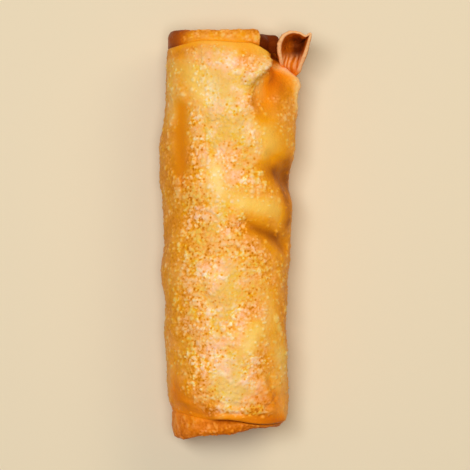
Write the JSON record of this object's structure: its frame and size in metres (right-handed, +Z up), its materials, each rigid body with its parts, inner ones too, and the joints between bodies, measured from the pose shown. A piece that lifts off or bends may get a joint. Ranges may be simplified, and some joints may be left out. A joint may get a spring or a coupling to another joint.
{
  "type": "fried spring roll",
  "caption": "Fried spring roll: a wrapper rolled round its filling into a blunt log with tucked ends and one curled corner, golden and blistered.",
  "frame": {"origin": "middle of the roll's outline seen from above, on the surface it rests on", "axes": "+Y along the roll, towards the end with the curled corner; +X to the side the curled corner stands on; +Z up"},
  "size_m": [0.0454, 0.1222, 0.0314],
  "materials": {
    "fried_wrapper": "golden deep-fried pastry sheet, blistered and slightly oily"
  },
  "bodies": {
    "root": {"spring_roll": "fried_wrapper"}
  },
  "joints": []
}
